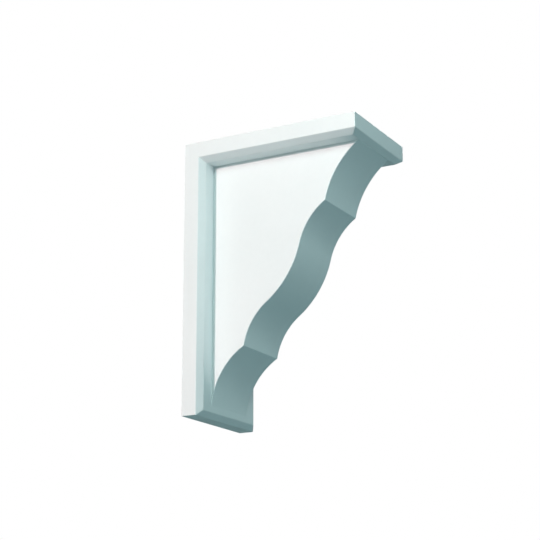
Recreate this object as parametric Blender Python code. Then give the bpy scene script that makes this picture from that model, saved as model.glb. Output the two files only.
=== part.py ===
"""Decorative bracket: an L-shaped moulded frame with a scalloped web filling its corner.

The leg lies flat on the wall and the arm lies flat under the soffit. +X runs out from the wall, +Z runs
up, and the origin is the centre of the wall face. The bracket is one moulding, so it is one solid.
Outlines are drawn in the upright plane through the wall's normal, as (out from the wall, up).
"""
import math

import bmesh
import bpy
from mathutils import Matrix, Vector

# Overall size, in metres
HEIGHT = 0.343
PROJECTION = 0.2347
WIDTH = 0.1389

# Frame: a square edge, then a bevel up to the flat inner face
EDGE_DEPTH = 0.0196
BEVEL_RISE = 0.0058
SIDE_BEVEL_INSET = 0.0092
END_BEVEL_INSET = 0.0071

# Web between the leg and the arm, set in from both sides
WEB_THICKNESS = 0.0850

# Flat left on the arm between the scalloped front and the bevel at the arm's end
ARM_LIP = 0.0015
# How far the lowest hollow runs into the leg, so that it dies away on the leg's face
FOOT_TUCK = 0.0003

# The two creases of the scalloped front, as shares of the web's reach and of its drop
UPPER_CREASE_SHARES = (0.774, 0.214)
LOWER_CREASE_SHARES = (0.221, 0.736)

# Turn of the hollow above the upper crease, in degrees
TOP_HOLLOW_TURN = 42.8

# Between the creases a hollow, a swell and a hollow meet smoothly: their turns to the left, in degrees,
# and their radii relative to each other
MIDDLE_TURNS = (43.0, -39.7, 44.1)
MIDDLE_RADIUS_RATIOS = (0.82, 1.18, 0.79)

# Largest turn in one facet of a curved front, in degrees
FACET_TURN = 3.0

# Primed white finish
COLOUR = (0.82, 0.85, 0.85, 1.0)
ROUGHNESS = 0.55

TOP = HEIGHT / 2
FOOT = -HEIGHT / 2
FACE_DEPTH = EDGE_DEPTH + BEVEL_RISE


def clear_scene():
    """Remove every object of the open file."""
    for item in list(bpy.data.objects):
        bpy.data.objects.remove(item, do_unlink=True)


def arc_between(start, end, turn):
    """Return points of the arc from start to end that turns left by so many degrees."""
    sweep = math.radians(turn)
    chord = end - start
    to_centre = Vector((-chord.y, chord.x)) / (2 * math.tan(sweep / 2))
    centre = start + chord / 2 + to_centre
    steps = math.ceil(abs(turn) / FACET_TURN)
    turned = [Matrix.Rotation(sweep * step / steps, 2) for step in range(1, steps)]
    return [start, *(centre + rotation @ (start - centre) for rotation in turned), end]


def wave_between(start, end, turns, radii):
    """Return points of smoothly joined arcs from start to end.

    The arcs turn to the left by so many degrees, and their radii are relative to each other. The whole
    wave is turned and scaled until its ends meet the given points.
    """
    joints = [Vector((0, 0))]
    heading = 0.0
    for turn, radius in zip(turns, radii):
        sweep = math.radians(turn)
        middle_heading = heading + sweep / 2
        chord = 2 * radius * math.sin(abs(sweep) / 2)
        joints.append(joints[-1] + chord * Vector((math.cos(middle_heading), math.sin(middle_heading))))
        heading += sweep
    span = joints[-1]
    wanted = end - start
    swing = Matrix.Rotation(math.atan2(wanted.y, wanted.x) - math.atan2(span.y, span.x), 2)
    scale = wanted.length / span.length
    placed = [start + swing @ joint * scale for joint in joints]
    points = [start]
    for turn, near, far in zip(turns, placed, placed[1:]):
        points += arc_between(near, far, turn)[1:]
    return points


def foot_hollow(start):
    """Return the lowest hollow, from start down to where it has died away on the leg's face.

    It ends upright, level with the top of the bevel round the foot.
    """
    end = Vector((FACE_DEPTH - FOOT_TUCK, FOOT + END_BEVEL_INSET))
    turn = 2 * math.atan2(start.x - end.x, start.y - end.y)
    return arc_between(start, end, math.degrees(turn))


def web_outline():
    """Return the web's outline: the scalloped front, then three straight sides inside the frame."""
    top = Vector((PROJECTION - END_BEVEL_INSET - ARM_LIP, TOP - FACE_DEPTH))
    reach = top.x - FACE_DEPTH
    drop = top.y - FOOT
    upper, lower = (
        Vector((FACE_DEPTH + reach * out_share, top.y - drop * down_share))
        for out_share, down_share in (UPPER_CREASE_SHARES, LOWER_CREASE_SHARES)
    )
    front = arc_between(top, upper, TOP_HOLLOW_TURN)
    front += wave_between(upper, lower, MIDDLE_TURNS, MIDDLE_RADIUS_RATIOS)[1:]
    front += foot_hollow(lower)[1:]
    buried = EDGE_DEPTH / 2
    inside = [Vector((buried, front[-1].y)), Vector((buried, TOP - buried)), Vector((top.x, TOP - buried))]
    return front + inside


def new_object(name, mesh):
    """Turn a bmesh into a named object of the scene, with its faces pointing out."""
    bmesh.ops.recalc_face_normals(mesh, faces=mesh.faces)
    data = bpy.data.meshes.new(name)
    mesh.to_mesh(data)
    mesh.free()
    item = bpy.data.objects.new(name, data)
    bpy.context.scene.collection.objects.link(item)
    return item


def bridge(mesh, first, second):
    """Join two rows of vertices with a strip of faces."""
    for i in range(len(first) - 1):
        mesh.faces.new((first[i], first[i + 1], second[i + 1], second[i]))


def make_frame(name):
    """Make the L-shaped frame: a flat side on each hand, its bevel inwards, and one strip all round."""
    side_outline = (
        (0, TOP),
        (PROJECTION, TOP),
        (PROJECTION, TOP - EDGE_DEPTH),
        (EDGE_DEPTH, TOP - EDGE_DEPTH),
        (EDGE_DEPTH, FOOT),
        (0, FOOT),
    )
    inner_face = (
        (PROJECTION - END_BEVEL_INSET, TOP - FACE_DEPTH),
        (FACE_DEPTH, TOP - FACE_DEPTH),
        (FACE_DEPTH, FOOT + END_BEVEL_INSET),
    )
    mesh = bmesh.new()
    rings = []
    for hand in (-1, 1):
        side = [mesh.verts.new((x, hand * WIDTH / 2, z)) for x, z in side_outline]
        face = [mesh.verts.new((x, hand * (WIDTH / 2 - SIDE_BEVEL_INSET), z)) for x, z in inner_face]
        mesh.faces.new(side)
        bridge(mesh, side[2:5], face)
        rings.append([*side[4:], *side[:3], *face, side[4]])
    bridge(mesh, *rings)
    return new_object(name, mesh)


def make_web(name):
    """Make the web: its outline extruded across the middle of the bracket's width."""
    mesh = bmesh.new()
    near_side = mesh.faces.new([mesh.verts.new((p.x, -WEB_THICKNESS / 2, p.y)) for p in web_outline()])
    swept = bmesh.ops.extrude_face_region(mesh, geom=[near_side], use_keep_orig=True)["geom"]
    far_side = [item for item in swept if isinstance(item, bmesh.types.BMVert)]
    bmesh.ops.translate(mesh, verts=far_side, vec=(0, WEB_THICKNESS, 0))
    return new_object(name, mesh)


def primed_finish():
    """Return the bracket's factory-primed white finish."""
    material = bpy.data.materials.new("primed_white")
    material.use_nodes = True
    shader = material.node_tree.nodes["Principled BSDF"]
    shader.inputs["Base Color"].default_value = COLOUR
    shader.inputs["Roughness"].default_value = ROUGHNESS
    shader.inputs["Metallic"].default_value = 0.0
    return material


def make_bracket():
    """Make the bracket: the frame with the web moulded to it."""
    bracket = make_frame("bracket")
    bracket.data.materials.append(primed_finish())
    web = make_web("web_form")
    web.hide_render = True
    web.display_type = "WIRE"
    join = bracket.modifiers.new("moulded in one", "BOOLEAN")
    join.operation = "UNION"
    join.solver = "EXACT"
    join.object = web
    return bracket


clear_scene()
make_bracket()
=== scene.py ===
"""Decorative bracket: the finished moulding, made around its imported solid.

The bracket is one urethane moulding, primed white at the works: a flat leg for the wall, a flat arm for the
soffit, one bevel round the inner edges of both, and a thick web between them with a scalloped front. +X runs
out from the wall, +Z runs up, and the origin is the centre of the wall face. Outlines are drawn in the
upright plane through the wall's normal, as (out from the wall, up). Sizes are in metres unless a docstring
says otherwise.
"""
import logging
import math
from collections.abc import Mapping, Sequence
from dataclasses import dataclass, field
from enum import Enum
from typing import ClassVar

import bmesh
import bpy
from mathutils import Matrix, Vector


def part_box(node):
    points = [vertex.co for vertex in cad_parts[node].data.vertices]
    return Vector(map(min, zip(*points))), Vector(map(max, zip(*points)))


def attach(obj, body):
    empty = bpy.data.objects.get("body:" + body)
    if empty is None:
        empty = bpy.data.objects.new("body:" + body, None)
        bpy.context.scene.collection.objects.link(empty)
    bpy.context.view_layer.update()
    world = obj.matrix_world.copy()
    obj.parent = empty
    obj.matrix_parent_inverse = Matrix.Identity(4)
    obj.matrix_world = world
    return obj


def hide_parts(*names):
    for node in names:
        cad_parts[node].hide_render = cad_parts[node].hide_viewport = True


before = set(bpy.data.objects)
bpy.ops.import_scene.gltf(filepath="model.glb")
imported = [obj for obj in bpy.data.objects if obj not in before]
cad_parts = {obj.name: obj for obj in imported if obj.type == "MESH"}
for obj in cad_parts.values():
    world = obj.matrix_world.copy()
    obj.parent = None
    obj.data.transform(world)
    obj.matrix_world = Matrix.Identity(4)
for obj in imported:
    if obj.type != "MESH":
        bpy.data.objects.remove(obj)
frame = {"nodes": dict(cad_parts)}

NODE = "bracket"
BODY = "root"

# Attributes of the meshes: the way in from the web's front, and where an arris is eased
INWARD = "inward"
ARRIS = "arris"

# Slack on a facet's largest turn, so that rounding never adds a facet
FACET_SLACK = 1.001

log = logging.getLogger("bracket")


class Socket(Enum):
    """What a node group's socket carries."""

    GEOMETRY = "NodeSocketGeometry"
    FLOAT = "NodeSocketFloat"
    INTEGER = "NodeSocketInt"
    MATERIAL = "NodeSocketMaterial"


class Tree(Enum):
    """The two kinds of node tree used here."""

    GEOMETRY = "GeometryNodeTree"
    SHADER = "ShaderNodeTree"


class Surface(Enum):
    """The sorts of surface on the moulding, by material index."""

    SHOWN = 0
    MOUNTING = 1


class Lamp(Enum):
    """The kinds of studio light."""

    DISTANT = "SUN"
    PANEL = "AREA"


@dataclass
class Sketch:
    """A node tree being drawn. Sockets that share a name with others of their node go by number."""

    tree: bpy.types.NodeTree

    @classmethod
    def group(cls, kind: Tree, name: str) -> "Sketch":
        """Start a new node group."""
        return cls(bpy.data.node_groups.new(name, kind.value))

    def takes(self, name: str, kind: Socket) -> str:
        """Add a named input to the group and return its identifier."""
        socket = self.tree.interface.new_socket(name=name, in_out="INPUT", socket_type=kind.value)
        return socket.identifier

    def gives(self, name: str, kind: Socket) -> None:
        """Add a named output to the group."""
        self.tree.interface.new_socket(name=name, in_out="OUTPUT", socket_type=kind.value)

    def add(
        self, kind: str, feeds: Mapping[str | int, object] | None = None, **options: object
    ) -> bpy.types.Node:
        """Add a node.

        Args:
            kind: The node's type.
            feeds: What each input gets, by its name or number: a socket to link, or a plain value.
            options: The node's own options.

        Returns:
            The new node.
        """
        node = self.tree.nodes.new(kind)
        for option, value in options.items():
            setattr(node, option, value)
        for key, feed in (feeds or {}).items():
            self.feed(node.inputs[key], feed)
        return node

    def feed(self, socket: bpy.types.NodeSocket, feed: object) -> None:
        """Link a socket to another, or set its value.

        Args:
            socket: The input to feed.
            feed: The output to link to it, or a plain value.
        """
        if isinstance(feed, bpy.types.NodeSocket):
            self.tree.links.new(feed, socket)
        else:
            socket.default_value = feed

    def maths(self, operation: str, *values: object) -> bpy.types.NodeSocket:
        """Add a sum on numbers and return its result."""
        return self.add("ShaderNodeMath", dict(enumerate(values)), operation=operation).outputs[0]

    def along_y(self, length: object) -> bpy.types.NodeSocket:
        """Return a vector of that length along +Y."""
        return self.add("ShaderNodeCombineXYZ", {"Y": length}).outputs[0]

    def scaled(self, vector: object, scale: object) -> bpy.types.NodeSocket:
        """Return the vector times a number."""
        node = self.add("ShaderNodeVectorMath", {0: vector, "Scale": scale}, operation="SCALE")
        return node.outputs[0]

    def mixed(self, share: object, first: object, second: object) -> bpy.types.NodeSocket:
        """Return a number between two, by the second's share."""
        return self.add("ShaderNodeMix", {0: share, 2: first, 3: second}).outputs[0]

    def mixed_colour(self, share: object, first: object, second: object) -> bpy.types.NodeSocket:
        """Return a colour between two, by the second's share."""
        return self.add("ShaderNodeMix", {0: share, 6: first, 7: second}, data_type="RGBA").outputs[2]


def new_object(name: str, mesh: bmesh.types.BMesh) -> bpy.types.Object:
    """Turn a bmesh into an object of the scene, with its faces pointing out.

    Args:
        name: The object's name.
        mesh: The mesh, which is freed.

    Returns:
        The new object.
    """
    bmesh.ops.recalc_face_normals(mesh, faces=mesh.faces)
    data = bpy.data.meshes.new(name)
    mesh.to_mesh(data)
    mesh.free()
    return place(name, data)


def place(name: str, data: bpy.types.Mesh) -> bpy.types.Object:
    """Put a mesh in the scene as an object.

    Args:
        name: The object's name.
        data: The mesh.

    Returns:
        The new object.
    """
    item = bpy.data.objects.new(name, data)
    bpy.context.scene.collection.objects.link(item)
    return item


def settle(item: bpy.types.Object) -> None:
    """Replace an object's mesh by its evaluated one, and remove its modifiers.

    Args:
        item: The object.
    """
    evaluated = item.evaluated_get(bpy.context.evaluated_depsgraph_get())
    made = bpy.data.meshes.new_from_object(evaluated)
    item.modifiers.clear()
    item.data = made


def arc_between(start: Vector, end: Vector, turn: float, step: float) -> list[Vector]:
    """Draw an arc.

    Args:
        start: Its first point.
        end: Its last point.
        turn: How far it turns to the left from start to end, in degrees.
        step: The largest turn between two of its points, in degrees.

    Returns:
        The arc's points, both ends included.
    """
    sweep = math.radians(turn)
    chord = end - start
    to_centre = Vector((-chord.y, chord.x)) / (2 * math.tan(sweep / 2))
    centre = start + chord / 2 + to_centre
    steps = math.ceil(abs(turn) / step)
    turned = [Matrix.Rotation(sweep * i / steps, 2) for i in range(1, steps)]
    return [start, *(centre + rotation @ (start - centre) for rotation in turned), end]


def wave_between(
    start: Vector, end: Vector, turns: Sequence[float], radii: Sequence[float], step: float
) -> list[Vector]:
    """Draw smoothly joined arcs, turned and scaled together until they meet both ends.

    Args:
        start: The wave's first point.
        end: Its last point.
        turns: How far each arc turns to the left, in degrees.
        radii: The arcs' radii, relative to each other.
        step: The largest turn between two points, in degrees.

    Returns:
        The wave's points, both ends included.
    """
    joints = [Vector((0, 0))]
    heading = 0.0
    for turn, radius in zip(turns, radii):
        sweep = math.radians(turn)
        middle_heading = heading + sweep / 2
        chord = 2 * radius * math.sin(abs(sweep) / 2)
        joints.append(joints[-1] + chord * Vector((math.cos(middle_heading), math.sin(middle_heading))))
        heading += sweep
    span = joints[-1]
    wanted = end - start
    swing = Matrix.Rotation(math.atan2(wanted.y, wanted.x) - math.atan2(span.y, span.x), 2)
    scale = wanted.length / span.length
    placed = [start + swing @ joint * scale for joint in joints]
    points = [start]
    for turn, near, far in zip(turns, placed, placed[1:]):
        points += arc_between(near, far, turn, step)[1:]
    return points


def ease_corner(before: Vector, corner: Vector, after: Vector, radius: float, steps: int) -> list[Vector]:
    """Round a corner between two straight stretches.

    Args:
        before: The point before the corner.
        corner: The corner.
        after: The point after it.
        radius: The radius of the rounding.
        steps: How many facets it has.

    Returns:
        The points that take the corner's place.
    """
    back = (before - corner).normalized()
    on = (after - corner).normalized()
    turn = math.pi - back.angle(on)
    cut = radius * math.tan(turn / 2)
    left = back.x * on.y - back.y * on.x < 0
    signed_turn = math.degrees(turn) * (1 if left else -1)
    step = math.degrees(turn) / steps * FACET_SLACK
    return arc_between(corner + back * cut, corner + on * cut, signed_turn, step)


@dataclass(frozen=True)
class Room:
    """The box that the bracket fills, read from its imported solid."""

    projection: float
    width: float
    top: float
    foot: float

    @classmethod
    def of_node(cls, node: str) -> "Room":
        """Read the box of a node."""
        low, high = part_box(node)
        return cls(projection=high.x, width=high.y - low.y, top=high.z, foot=low.z)


@dataclass
class Frame:
    """The L-shaped frame: a square edge, then a bevel up to the flat inner face.

    The least turn of an edge that is eased is in degrees.
    """

    room: Room
    finish: bpy.types.Material
    edge_depth: float = 0.0196
    bevel_rise: float = 0.0058
    side_bevel_inset: float = 0.0092
    end_bevel_inset: float = 0.0071
    arris_cut: float = 0.0009
    arris_steps: int = 3
    least_arris_turn: float = 20.0

    @property
    def face_depth(self) -> float:
        """How far the flat inner face stands off the wall or the soffit."""
        return self.edge_depth + self.bevel_rise

    def side_outline(self) -> list[tuple[float, float]]:
        """Draw the outline of a flat side.

        Returns:
            Its corners, from the back of the arm round to the back of the leg.
        """
        room = self.room
        return [
            (0, room.top),
            (room.projection, room.top),
            (room.projection, room.top - self.edge_depth),
            (self.edge_depth, room.top - self.edge_depth),
            (self.edge_depth, room.foot),
            (0, room.foot),
        ]

    def inner_line(self) -> list[tuple[float, float]]:
        """Draw the line of the flat inner face.

        Returns:
            Its points, from the arm's end to the leg's foot.
        """
        room = self.room
        return [
            (room.projection - self.end_bevel_inset, room.top - self.face_depth),
            (self.face_depth, room.top - self.face_depth),
            (self.face_depth, room.foot + self.end_bevel_inset),
        ]

    def build(self) -> bpy.types.Object:
        """Make the frame with eased arrises.

        Returns:
            The frame's object.
        """
        mesh = bmesh.new()
        rings = []
        for hand in (-1, 1):
            half = hand * self.room.width / 2
            inset = half - hand * self.side_bevel_inset
            side = [mesh.verts.new((x, half, z)) for x, z in self.side_outline()]
            face = [mesh.verts.new((x, inset, z)) for x, z in self.inner_line()]
            mesh.faces.new(side)
            self.bridge(mesh, side[2:5], face)
            rings.append([*side[4:], *side[:3], *face, side[4]])
        self.bridge(mesh, *rings)
        item = new_object("frame", mesh)
        item.data.materials.append(self.finish)
        item.data.materials.append(None)
        ease = item.modifiers.new("eased arrises", "BEVEL")
        ease.width = self.arris_cut
        ease.segments = self.arris_steps
        ease.limit_method = "ANGLE"
        ease.angle_limit = math.radians(self.least_arris_turn)
        ease.material = 1
        settle(item)
        self.mark_arrises(item.data)
        return item

    @staticmethod
    def mark_arrises(data: bpy.types.Mesh) -> None:
        """Mark the faces of the eased arrises, and clear the second material's place, which they have.

        Args:
            data: The frame's mesh.
        """
        marks = data.attributes.new(ARRIS, "FLOAT", "FACE")
        for polygon, mark in zip(data.polygons, marks.data):
            mark.value = float(polygon.material_index)
            polygon.material_index = 0
        data.materials.pop()

    @staticmethod
    def bridge(mesh: bmesh.types.BMesh, first: Sequence, second: Sequence) -> None:
        """Join two rows of vertices with a strip of faces."""
        for i in range(len(first) - 1):
            mesh.faces.new((first[i], first[i + 1], second[i + 1], second[i]))


@dataclass
class Web:
    """The thick web in the frame's corner, with its scalloped front.

    Each crease lies at a share of the web's reach and a share of its drop. All turns are in degrees. The
    front's arris narrows over the melting depth, to nothing at the leg's face, where the front dies away.
    """

    room: Room
    frame: Frame
    finish: bpy.types.Material
    thickness: float = 0.0850
    arm_lip: float = 0.0015
    foot_tuck: float = 0.0003
    upper_crease_shares: tuple[float, float] = (0.774, 0.214)
    lower_crease_shares: tuple[float, float] = (0.221, 0.736)
    top_hollow_turn: float = 42.8
    middle_turns: tuple[float, ...] = (43.0, -39.7, 44.1)
    middle_radius_ratios: tuple[float, ...] = (0.82, 1.18, 0.79)
    facet_turn: float = 2.0
    crease_radius: float = 0.0012
    crease_steps: int = 4
    arris_radius: float = 0.0011
    arris_steps: int = 4
    melting_depth: float = 0.0025
    merge_distance: float = 1e-6

    def creases(self) -> list[Vector]:
        """Work out where the front starts and creases.

        Returns:
            The front's upper end, then its two creases.
        """
        face = self.frame.face_depth
        end = self.room.projection - self.frame.end_bevel_inset
        top = Vector((end - self.arm_lip, self.room.top - face))
        reach = top.x - face
        drop = top.y - self.room.foot
        shares = (self.upper_crease_shares, self.lower_crease_shares)
        return [top, *(Vector((face + reach * out, top.y - drop * down)) for out, down in shares)]

    def foot_hollow(self, start: Vector) -> list[Vector]:
        """Draw the lowest hollow, which ends upright at the top of the foot's bevel, just inside the leg.

        Args:
            start: The lower crease.

        Returns:
            The hollow's points, both ends included.
        """
        end = Vector((self.frame.face_depth - self.foot_tuck, self.room.foot + self.frame.end_bevel_inset))
        turn = 2 * math.atan2(start.x - end.x, start.y - end.y)
        return arc_between(start, end, math.degrees(turn), self.facet_turn)

    def front_line(self) -> list[Vector]:
        """Draw the scalloped front, with its creases eased.

        Returns:
            The front's points, from the arm to the foot.
        """
        top, upper, lower = self.creases()
        stretches = [
            arc_between(top, upper, self.top_hollow_turn, self.facet_turn),
            wave_between(upper, lower, self.middle_turns, self.middle_radius_ratios, self.facet_turn),
            self.foot_hollow(lower),
        ]
        line = stretches[0]
        for stretch in stretches[1:]:
            eased = ease_corner(line[-2], line[-1], stretch[1], self.crease_radius, self.crease_steps)
            line = line[:-1] + eased + stretch[1:]
        return line

    def arris_share(self, point: Vector) -> float:
        """Return how much of the full arris the front has at a point: less where it dies into the leg."""
        depth = point.x - self.frame.face_depth
        return max(0.0, min(1.0, depth / self.melting_depth))

    def build(self) -> bpy.types.Object:
        """Make the web: its side, swept across the thickness with eased arrises.

        Returns:
            The web's object.
        """
        line = self.front_line()
        buried = self.frame.edge_depth / 2
        corner = [
            Vector((buried, line[-1].y)),
            Vector((buried, self.room.top - buried)),
            Vector((line[0].x, self.room.top - buried)),
        ]
        outline = line + corner
        mesh = bmesh.new()
        inward = mesh.verts.layers.float_vector.new(INWARD)
        for i, point in enumerate(outline):
            vertex = mesh.verts.new((point.x, 0, point.y))
            if i < len(line):
                before = outline[i] - outline[i - 1] if i else outline[1] - outline[0]
                after = outline[i + 1] - outline[i] if i < len(line) - 1 else before
                along = (before.normalized() + after.normalized()).normalized()
                share = self.arris_share(point)
                vertex[inward] = Vector((along.y, 0, -along.x)) * share
        mesh.faces.new(mesh.verts)
        data = bpy.data.meshes.new("web")
        mesh.to_mesh(data)
        mesh.free()
        item = place("web", data)
        self.sweep(item)
        settle(item)
        return item

    def sweep(self, item: bpy.types.Object) -> None:
        """Put the sweep across the thickness on the web's side.

        Args:
            item: The web's object, which is its flat side so far.
        """
        sketch = Sketch.group(Tree.GEOMETRY, "web across its thickness")
        sketch.takes("Geometry", Socket.GEOMETRY)
        values = {
            sketch.takes("Thickness", Socket.FLOAT): self.thickness,
            sketch.takes("Arris Radius", Socket.FLOAT): self.arris_radius,
            sketch.takes("Arris Steps", Socket.INTEGER): self.arris_steps,
            sketch.takes("Finish", Socket.MATERIAL): self.finish,
        }
        sketch.gives("Geometry", Socket.GEOMETRY)
        given = sketch.add("NodeGroupInput").outputs
        both = self.draw_both(sketch, self.draw_half(sketch, given))
        dressed = sketch.add("GeometryNodeSetMaterial", {"Geometry": both, "Material": given["Finish"]})
        sketch.add("NodeGroupOutput", {"Geometry": dressed.outputs[0]})
        modifier = item.modifiers.new("sweep", "NODES")
        modifier.node_group = sketch.tree
        for socket, value in values.items():
            modifier[socket] = value

    @staticmethod
    def draw_half(sketch: Sketch, given: bpy.types.NodeOutputs) -> bpy.types.NodeSocket:
        """Draw the sweep to one hand: a straight stretch, then the arris in steps of an even turn.

        Args:
            sketch: The node group.
            given: What the group is given.

        Returns:
            The web's half on the -Y hand.
        """
        inward = sketch.add(
            "GeometryNodeInputNamedAttribute", {"Name": INWARD}, data_type="FLOAT_VECTOR"
        ).outputs["Attribute"]
        share = sketch.add("ShaderNodeVectorMath", {0: inward}, operation="LENGTH").outputs["Value"]
        own_radius = sketch.maths("MULTIPLY", share, given["Arris Radius"])
        straight = sketch.maths("SUBTRACT", own_radius, sketch.maths("MULTIPLY", given["Thickness"], 0.5))
        flat = sketch.add(
            "GeometryNodeExtrudeMesh",
            {"Mesh": given["Geometry"], "Offset": sketch.along_y(straight), "Individual": False},
        )
        repeat_in = sketch.add("GeometryNodeRepeatInput")
        repeat_out = sketch.add("GeometryNodeRepeatOutput")
        repeat_in.pair_with_output(repeat_out)
        repeat_out.repeat_items.new("BOOLEAN", "Top")
        sketch.feed(repeat_in.inputs["Iterations"], given["Arris Steps"])
        sketch.feed(repeat_in.inputs["Geometry"], flat.outputs["Mesh"])
        sketch.feed(repeat_in.inputs["Top"], flat.outputs["Top"])
        quarter = sketch.maths("DIVIDE", math.pi / 2, given["Arris Steps"])
        angle = sketch.maths("MULTIPLY", repeat_in.outputs["Iteration"], quarter)
        next_angle = sketch.maths("ADD", angle, quarter)
        outward = sketch.maths("SUBTRACT", sketch.maths("SINE", angle), sketch.maths("SINE", next_angle))
        inwards = sketch.maths("SUBTRACT", sketch.maths("COSINE", angle), sketch.maths("COSINE", next_angle))
        across = sketch.along_y(sketch.maths("MULTIPLY", own_radius, outward))
        sink = sketch.scaled(inward, sketch.maths("MULTIPLY", given["Arris Radius"], inwards))
        offset = sketch.add("ShaderNodeVectorMath", {0: across, 1: sink}, operation="ADD").outputs[0]
        arris = sketch.add(
            "GeometryNodeExtrudeMesh",
            {
                "Mesh": repeat_in.outputs["Geometry"],
                "Selection": repeat_in.outputs["Top"],
                "Offset": offset,
                "Individual": False,
            },
        )
        eased = sketch.add(
            "GeometryNodeStoreNamedAttribute",
            {
                "Geometry": arris.outputs["Mesh"],
                "Selection": arris.outputs["Side"],
                "Name": ARRIS,
                "Value": 1.0,
            },
            data_type="FLOAT",
            domain="FACE",
        )
        sketch.feed(repeat_out.inputs["Geometry"], eased.outputs[0])
        sketch.feed(repeat_out.inputs["Top"], arris.outputs["Top"])
        return repeat_out.outputs["Geometry"]

    def draw_both(self, sketch: Sketch, half: bpy.types.NodeSocket) -> bpy.types.NodeSocket:
        """Draw the mirroring of one half, and merge the two along the middle.

        Args:
            sketch: The node group.
            half: The half on one hand.

        Returns:
            The whole web.
        """
        mirrored = sketch.add("GeometryNodeTransform", {"Geometry": half, "Scale": (1, -1, 1)})
        turned = sketch.add("GeometryNodeFlipFaces", {"Mesh": mirrored.outputs[0]})
        both = sketch.add("GeometryNodeJoinGeometry", {"Geometry": half})
        sketch.feed(both.inputs["Geometry"], turned.outputs[0])
        merged = sketch.add(
            "GeometryNodeMergeByDistance", {"Geometry": both.outputs[0], "Distance": self.merge_distance}
        )
        return sketch.add("GeometryNodeRealizeInstances", {"Geometry": merged.outputs[0]}).outputs[0]


@dataclass(frozen=True)
class Mottle:
    """Soft unevenness of a sprayed coat: broad clouds and a finer grain in them."""

    cloud_scale: float = 11.0
    grain_scale: float = 160.0
    grain_share: float = 0.35
    noise_detail: ClassVar[float] = 3.0
    noise_roughness: ClassVar[float] = 0.55
    noise_low: ClassVar[float] = 0.3
    noise_high: ClassVar[float] = 0.7

    @classmethod
    def group(cls) -> bpy.types.NodeTree:
        """Draw the effect as a node group.

        Returns:
            The group, which gives a value from 0 to 1.
        """
        sketch = Sketch.group(Tree.SHADER, "sprayed coat mottle")
        for name in ("Cloud Scale", "Grain Scale", "Grain Share"):
            sketch.takes(name, Socket.FLOAT)
        sketch.gives("Mottle", Socket.FLOAT)
        given = sketch.add("NodeGroupInput").outputs
        place_on_it = sketch.add("ShaderNodeTexCoord").outputs["Object"]
        noise = {"Vector": place_on_it, "Detail": cls.noise_detail, "Roughness": cls.noise_roughness}
        clouds, grain = (
            sketch.add("ShaderNodeTexNoise", {**noise, "Scale": given[name]}).outputs["Fac"]
            for name in ("Cloud Scale", "Grain Scale")
        )
        blend = sketch.mixed(given["Grain Share"], clouds, grain)
        spread = sketch.add(
            "ShaderNodeMapRange", {"Value": blend, "From Min": cls.noise_low, "From Max": cls.noise_high}
        )
        sketch.add("NodeGroupOutput", {"Mottle": spread.outputs[0]})
        return sketch.tree


@dataclass(frozen=True)
class Stipple:
    """The fine relief of sprayed primer: an even peel, with a few pinholes of the casting under it."""

    peel_scale: float = 620.0
    pit_scale: float = 95.0
    pit_size: float = 0.055
    peel_detail: ClassVar[float] = 1.5
    peel_roughness: ClassVar[float] = 0.45

    @classmethod
    def group(cls) -> bpy.types.NodeTree:
        """Draw the effect as a node group.

        Returns:
            The group, which gives a height from -1, at a pinhole's bottom, to 1.
        """
        sketch = Sketch.group(Tree.SHADER, "sprayed coat stipple")
        for name in ("Peel Scale", "Pit Scale", "Pit Size"):
            sketch.takes(name, Socket.FLOAT)
        sketch.gives("Height", Socket.FLOAT)
        given = sketch.add("NodeGroupInput").outputs
        place_on_it = sketch.add("ShaderNodeTexCoord").outputs["Object"]
        peel = sketch.add(
            "ShaderNodeTexNoise",
            {
                "Vector": place_on_it,
                "Scale": given["Peel Scale"],
                "Detail": cls.peel_detail,
                "Roughness": cls.peel_roughness,
            },
        ).outputs["Fac"]
        pits = sketch.add("ShaderNodeTexVoronoi", {"Vector": place_on_it, "Scale": given["Pit Scale"]})
        depth = sketch.add(
            "ShaderNodeMapRange",
            {
                "Value": pits.outputs["Distance"],
                "From Max": given["Pit Size"],
                "To Min": -1.0,
                "To Max": 0.0,
            },
        )
        height = sketch.maths("ADD", peel, depth.outputs[0])
        sketch.add("NodeGroupOutput", {"Height": height})
        return sketch.tree


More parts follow.
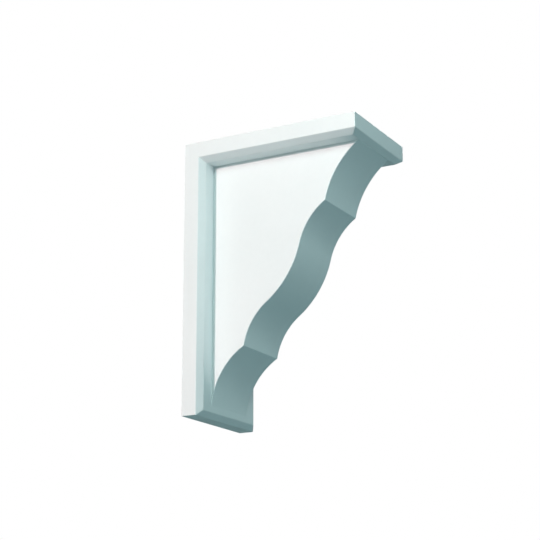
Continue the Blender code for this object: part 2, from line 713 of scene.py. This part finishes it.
@dataclass(frozen=True)
class PrimerFinish:
    """One material of factory-sprayed white primer, with a painted highlight: its eased arrises are coloured
    a touch lighter than its flats.
    """

    name: str
    fair_colour: tuple[float, float, float, float]
    dull_colour: tuple[float, float, float, float]
    arris_highlight_colour: tuple[float, float, float, float]
    smooth_roughness: float
    rough_roughness: float
    arris_roughness: float
    relief: float
    mottle: Mottle = Mottle()
    stipple: Stipple = Stipple()
    refraction: float = 1.47

    def build(
        self, mottle_group: bpy.types.NodeTree, stipple_group: bpy.types.NodeTree
    ) -> bpy.types.Material:
        """Make the material.

        Args:
            mottle_group: The node group that Mottle draws.
            stipple_group: The node group that Stipple draws.

        Returns:
            The material.
        """
        material = bpy.data.materials.new(self.name)
        material.use_nodes = True
        material.node_tree.nodes.clear()
        sketch = Sketch(material.node_tree)
        mottle = sketch.add(
            "ShaderNodeGroup",
            {
                "Cloud Scale": self.mottle.cloud_scale,
                "Grain Scale": self.mottle.grain_scale,
                "Grain Share": self.mottle.grain_share,
            },
            node_tree=mottle_group,
        ).outputs[0]
        stipple = sketch.add(
            "ShaderNodeGroup",
            {
                "Peel Scale": self.stipple.peel_scale,
                "Pit Scale": self.stipple.pit_scale,
                "Pit Size": self.stipple.pit_size,
            },
            node_tree=stipple_group,
        ).outputs[0]
        arris = sketch.add("ShaderNodeAttribute", attribute_name=ARRIS).outputs["Fac"]
        flat_colour = sketch.mixed_colour(mottle, self.fair_colour, self.dull_colour)
        flat_roughness = sketch.mixed(mottle, self.smooth_roughness, self.rough_roughness)
        relief = sketch.add("ShaderNodeBump", {"Height": stipple, "Distance": self.relief})
        shader = sketch.add(
            "ShaderNodeBsdfPrincipled",
            {
                # The eased arrises get a lighter colour, which is a painted highlight, and a smoother
                # roughness, which is real gloss.
                "Base Color": sketch.mixed_colour(arris, flat_colour, self.arris_highlight_colour),
                "Roughness": sketch.mixed(arris, flat_roughness, self.arris_roughness),
                "Normal": relief.outputs[0],
                "IOR": self.refraction,
            },
        )
        sketch.add("ShaderNodeOutputMaterial", {"Surface": shader.outputs[0]})
        return material


@dataclass(frozen=True)
class PaleFloor:
    """A plain pale floor, well under the bracket, that throws little light back up at it."""

    drop: float = 1.25
    half_side: float = 40.0
    seen_colour: tuple[float, float, float, float] = (0.80, 0.83, 0.84, 1.0)
    lit_colour: tuple[float, float, float, float] = (0.36, 0.57, 0.59, 1.0)

    def build(self) -> bpy.types.Object:
        """Returns:
            The floor's object.
        """
        mesh = bmesh.new()
        bmesh.ops.create_grid(mesh, x_segments=1, y_segments=1, size=self.half_side)
        bmesh.ops.translate(mesh, verts=mesh.verts, vec=(0, 0, -self.drop))
        item = new_object("floor", mesh)
        item.data.materials.append(self.surface())
        return item

    def surface(self) -> bpy.types.Material:
        """Make the floor's material: evenly pale to look at, and darker to the light that it gets.

        Returns:
            The material.
        """
        material = bpy.data.materials.new("pale floor")
        material.use_nodes = True
        material.node_tree.nodes.clear()
        sketch = Sketch(material.node_tree)
        looked_at = sketch.add("ShaderNodeLightPath").outputs["Is Camera Ray"]
        lit = sketch.add("ShaderNodeBsdfDiffuse", {"Color": self.lit_colour})
        seen = sketch.add("ShaderNodeEmission", {"Color": self.seen_colour})
        both = sketch.add("ShaderNodeMixShader", {0: looked_at, 1: lit.outputs[0], 2: seen.outputs[0]})
        sketch.add("ShaderNodeOutputMaterial", {"Surface": both.outputs[0]})
        return material


@dataclass(frozen=True)
class StudioLight:
    """One light of the studio, aimed at the middle of the bracket.

    A distant light's power is in watts per square metre, and its size is the angle that it fills, in
    degrees. A panel's power is in watts, and its size is its diameter.
    """

    name: str
    kind: Lamp
    comes_from: tuple[float, float, float]
    colour: tuple[float, float, float]
    power: float
    size: float
    distance: float = 2.5

    def build(self, aim: Vector) -> bpy.types.Object:
        """Make the light.

        Args:
            aim: The point that it's aimed at.

        Returns:
            The light's object.
        """
        data = bpy.data.lights.new(self.name, self.kind.value)
        data.color = self.colour
        data.energy = self.power
        if self.kind is Lamp.DISTANT:
            data.angle = math.radians(self.size)
        else:
            data.shape = "DISK"
            data.size = self.size
        item = bpy.data.objects.new(self.name, data)
        bpy.context.scene.collection.objects.link(item)
        away = Vector(self.comes_from).normalized()
        item.location = aim + away * self.distance
        item.rotation_euler = away.to_track_quat("Z", "Y").to_euler()
        item.visible_camera = False
        return item


@dataclass(frozen=True)
class PhotoCamera:
    """The camera at the photo's viewing angle, below the bracket and looking up at it.

    Its turns are in degrees, and its lens and sensor in millimetres.
    """

    stands_at: tuple[float, float, float] = (0.9391, -1.5613, -0.4884)
    turned: float = 28.75
    looks_up: float = 15.78
    tilted: float = -0.094
    lens: float = 99.94
    sensor: float = 36.0

    def build(self) -> bpy.types.Object:
        """Make the camera and give it to the scene.

        Returns:
            The camera's object.
        """
        data = bpy.data.cameras.new("camera")
        data.lens = self.lens
        data.sensor_width = self.sensor
        item = bpy.data.objects.new("camera", data)
        bpy.context.scene.collection.objects.link(item)
        turn = Matrix.Rotation(math.radians(self.turned), 4, "Z")
        lift = Matrix.Rotation(math.radians(90 + self.looks_up), 4, "X")
        tilt = Matrix.Rotation(math.radians(self.tilted), 4, "Z")
        item.matrix_world = Matrix.Translation(self.stands_at) @ turn @ lift @ tilt
        bpy.context.scene.camera = item
        return item


@dataclass(frozen=True)
class Studio:
    """Plain soft studio light round the bracket, over a pale floor and before a white ground.

    The ground is there to be looked at: it throws no light on the bracket.
    """

    lights: tuple[StudioLight, ...] = (
        StudioLight("key", Lamp.DISTANT, (-0.25, -1.0, 0.19), (1.0, 0.84, 0.83), 2.08, 5.0),
        StudioLight("cross panel", Lamp.PANEL, (0.55, -1.0, 0.60), (0.72, 1.0, 0.97), 4.3, 0.3, 1.15),
        StudioLight("low panel", Lamp.PANEL, (-0.60, -1.0, -0.58), (0.87, 0.97, 0.96), 30.5, 0.9, 3.0),
        StudioLight("front panel", Lamp.PANEL, (1.0, -0.3, 0.8), (0.60, 0.80, 0.82), 15.5, 2.0),
        StudioLight("low front panel", Lamp.PANEL, (1.0, -0.3, -0.25), (0.61, 0.90, 0.94), 8.6, 0.8, 2.2),
        StudioLight("overhead panel", Lamp.PANEL, (0.0, 0.2, 1.0), (0.87, 0.97, 1.0), 3.0, 0.7, 0.9),
        StudioLight("wall side panel", Lamp.PANEL, (-1.0, 0.2, 0.3), (0.87, 0.97, 1.0), 4.5, 0.7, 0.9),
        StudioLight("far side panel", Lamp.PANEL, (-0.25, 1.0, 0.8), (0.87, 0.97, 1.0), 5.0, 0.5, 0.9),
    )
    ground_colour: tuple[float, float, float, float] = (1.0, 1.0, 1.0, 1.0)

    def build(self, aim: Vector) -> None:
        """Light the scene and give it its white ground.

        Args:
            aim: The point that the lights are aimed at.
        """
        PaleFloor().build()
        for light in self.lights:
            light.build(aim)
        world = bpy.data.worlds.new("white ground")
        world.use_nodes = True
        world.node_tree.nodes.clear()
        sketch = Sketch(world.node_tree)
        looked_at = sketch.add("ShaderNodeLightPath").outputs["Is Camera Ray"]
        ground = sketch.add("ShaderNodeBackground", {"Color": self.ground_colour, "Strength": looked_at})
        sketch.add("ShaderNodeOutputWorld", {"Surface": ground.outputs[0]})
        bpy.context.scene.world = world
        bpy.context.scene.view_settings.view_transform = "Standard"


@dataclass
class Bracket:
    """The whole moulding: frame and web in one skin.

    The turn above which an edge looks sharp is in degrees. A face within a hair of the wall or the soffit
    lies on it.
    """

    room: Room
    shown: bpy.types.Material
    mounting: bpy.types.Material
    sharp_turn: float = 35.0
    hair: float = 1e-5
    frame: Frame = field(init=False)
    web: Web = field(init=False)

    def __post_init__(self) -> None:
        """Set the frame and the web to the bracket's room."""
        self.frame = Frame(self.room, self.shown)
        self.web = Web(self.room, self.frame, self.shown)

    def build(self) -> bpy.types.Object:
        """Make the moulding in one closed skin, and dress it.

        Returns:
            The moulding's object.
        """
        item = self.frame.build()
        web = self.web.build()
        join = item.modifiers.new("moulded in one", "BOOLEAN")
        join.operation = "UNION"
        join.solver = "EXACT"
        join.object = web
        settle(item)
        bpy.data.objects.remove(web)
        item.name = "bracket_moulding"
        self.dress(item.data)
        item.data.shade_smooth()
        item.data.set_sharp_from_angle(angle=math.radians(self.sharp_turn))
        weigh = item.modifiers.new("flats stay flat", "WEIGHTED_NORMAL")
        weigh.keep_sharp = True
        settle(item)
        return item

    def dress(self, data: bpy.types.Mesh) -> None:
        """Give the mounting faces their own finish, and fade the arris marks out towards the flats.

        Args:
            data: The moulding's mesh.
        """
        data.materials.clear()
        for material in (self.shown, self.mounting):
            data.materials.append(material)
        marks = data.attributes[ARRIS]
        eased = [bool(round(mark.value)) for mark in marks.data]
        data.attributes.remove(marks)
        softened = [True] * len(data.vertices)
        for polygon, is_eased in zip(data.polygons, eased):
            on_wall = polygon.center.x < self.hair and not is_eased
            on_soffit = polygon.center.z > self.room.top - self.hair and not is_eased
            polygon.material_index = (Surface.MOUNTING if on_wall or on_soffit else Surface.SHOWN).value
            if not is_eased:
                for index in polygon.vertices:
                    softened[index] = False
        faded = data.attributes.new(ARRIS, "FLOAT", "POINT")
        faded.data.foreach_set("value", [float(soft) for soft in softened])


def main() -> None:
    """Build the bracket, dress it, and set it in the studio."""
    logging.basicConfig(level=logging.INFO, format="%(message)s")
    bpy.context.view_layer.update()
    room = Room.of_node(NODE)
    mottle = Mottle.group()
    stipple = Stipple.group()
    shown = PrimerFinish(
        name="primed white",
        fair_colour=(0.83, 0.845, 0.845, 1.0),
        dull_colour=(0.80, 0.82, 0.82, 1.0),
        # The arrises' colour is a painted highlight, a touch lighter than the flats.
        arris_highlight_colour=(0.84, 0.85, 0.845, 1.0),
        smooth_roughness=0.46,
        rough_roughness=0.60,
        arris_roughness=0.42,
        relief=0.00004,
    ).build(mottle, stipple)
    mounting = PrimerFinish(
        name="primed mounting face",
        fair_colour=(0.80, 0.81, 0.80, 1.0),
        dull_colour=(0.74, 0.75, 0.73, 1.0),
        # The arrises' colour is a painted highlight, a touch lighter than the flats.
        arris_highlight_colour=(0.82, 0.83, 0.825, 1.0),
        smooth_roughness=0.60,
        rough_roughness=0.78,
        arris_roughness=0.5,
        relief=0.0001,
        mottle=Mottle(cloud_scale=17.0, grain_scale=110.0, grain_share=0.5),
        stipple=Stipple(peel_scale=380.0, pit_scale=60.0, pit_size=0.09),
    ).build(mottle, stipple)
    item = Bracket(room, shown, mounting).build()
    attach(item, BODY)
    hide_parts(NODE)
    log.info("%s: %d faces on body %s", item.name, len(item.data.polygons), BODY)
    PhotoCamera().build()
    Studio().build(Vector((room.projection / 2, 0, 0)))


if __name__ == "__main__":
    main()
